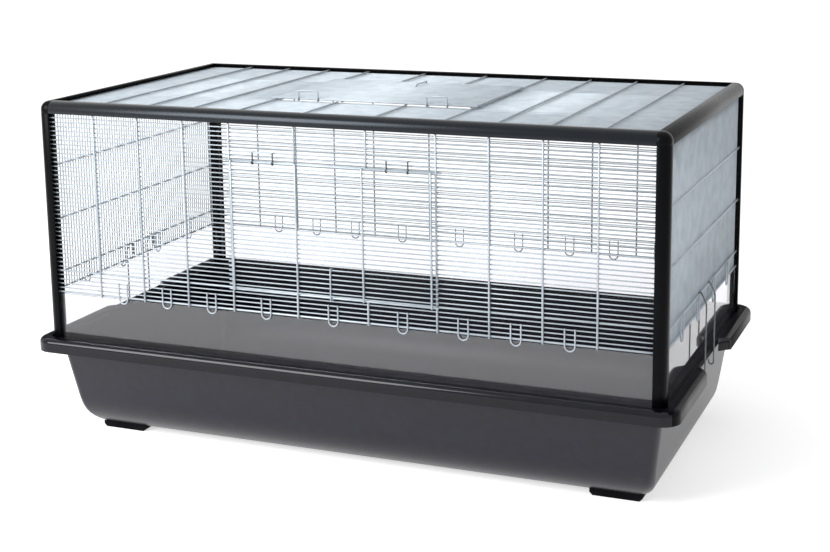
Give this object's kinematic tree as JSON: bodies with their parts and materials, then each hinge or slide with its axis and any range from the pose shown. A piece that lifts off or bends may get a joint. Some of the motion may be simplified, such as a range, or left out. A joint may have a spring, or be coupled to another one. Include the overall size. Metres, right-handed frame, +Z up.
{
  "type": "pet cage",
  "caption": "Long small-pet cage with a deep grey tray, black edge frame, fine wire panels, clear guard strips, a hinged front door and roof door, and wire side clips.",
  "frame": {"origin": "on the floor, at the centre of the cage's length and width", "axes": "+X along the length to the cage's right as seen from the front door, +Y to the back, +Z up; the front door faces -Y"},
  "size_m": [1, 0.56, 0.5396],
  "materials": {
    "tray_plastic": "dark grey moulded plastic with a slight sheen",
    "frame_plastic": "black extruded plastic with a soft gloss",
    "zinc_wire": "bright grey coated steel wire",
    "clear_acrylic": "clear sheet",
    "foot_plastic": "black moulded plastic"
  },
  "bodies": {
    "cage": {"back_clear_strip": "clear_acrylic", "back_left_foot": "foot_plastic", "back_left_post": "frame_plastic", "back_panel": "zinc_wire", "back_rail": "frame_plastic", "back_right_foot": "foot_plastic", "back_right_post": "frame_plastic", "back_strip_loops": "zinc_wire", "base_tray": "tray_plastic", "corner_caps": "frame_plastic", "front_clear_strip": "clear_acrylic", "front_door_hinge_clips": "zinc_wire", "front_left_foot": "foot_plastic", "front_left_post": "frame_plastic", "front_panel": "zinc_wire", "front_rail": "frame_plastic", "front_right_foot": "foot_plastic", "front_right_post": "frame_plastic", "front_strip_loops": "zinc_wire", "left_clear_strip": "clear_acrylic", "left_panel": "zinc_wire", "left_rail": "frame_plastic", "left_strip_loops": "zinc_wire", "right_clear_strip": "clear_acrylic", "right_panel": "zinc_wire", "right_rail": "frame_plastic", "right_strip_loops": "zinc_wire", "roof_panel": "zinc_wire"},
    "front_door": {"front_door": "zinc_wire"},
    "front_latch": {"front_door_latch": "zinc_wire"},
    "roof_door": {"roof_door": "zinc_wire", "roof_door_hinge_clips": "zinc_wire"},
    "roof_latch": {"roof_door_latch": "zinc_wire"},
    "left_front_clip": {"left_front_clip": "zinc_wire"},
    "left_back_clip": {"left_back_clip": "zinc_wire"},
    "right_front_clip": {"right_front_clip": "zinc_wire"},
    "right_back_clip": {"right_back_clip": "zinc_wire"}
  },
  "joints": [
    {"name": "front_door_hinge", "type": "hinge", "parent": "cage", "child": "front_door", "pos_m": [0, -0.2588, 0.45615], "axis": [-1, 0, 0], "range_deg": [0, 135]},
    {"name": "front_latch_pivot", "type": "hinge", "parent": "front_door", "child": "front_latch", "pos_m": [0, -0.2593, 0.30805], "axis": [-1, 0, 0], "range_deg": [0, 40]},
    {"name": "roof_door_hinge", "type": "hinge", "parent": "cage", "child": "roof_door", "pos_m": [0, -0.10717, 0.5265], "axis": [1, 0, 0], "range_deg": [0, 100]},
    {"name": "roof_latch_pivot", "type": "hinge", "parent": "roof_door", "child": "roof_latch", "pos_m": [0, 0.06569, 0.5263], "axis": [1, 0, 0], "range_deg": [0, 40]},
    {"name": "left_front_clip_pivot", "type": "hinge", "parent": "cage", "child": "left_front_clip", "pos_m": [-0.4755, -0.03111, 0.2585], "axis": [0, 1, 0], "range_deg": [0, 100]},
    {"name": "left_back_clip_pivot", "type": "hinge", "parent": "cage", "child": "left_back_clip", "pos_m": [-0.4755, 0.03111, 0.2585], "axis": [0, 1, 0], "range_deg": [0, 100]},
    {"name": "right_front_clip_pivot", "type": "hinge", "parent": "cage", "child": "right_front_clip", "pos_m": [0.4755, -0.03111, 0.2585], "axis": [0, -1, 0], "range_deg": [0, 100]},
    {"name": "right_back_clip_pivot", "type": "hinge", "parent": "cage", "child": "right_back_clip", "pos_m": [0.4755, 0.03111, 0.2585], "axis": [0, -1, 0], "range_deg": [0, 100]}
  ]
}
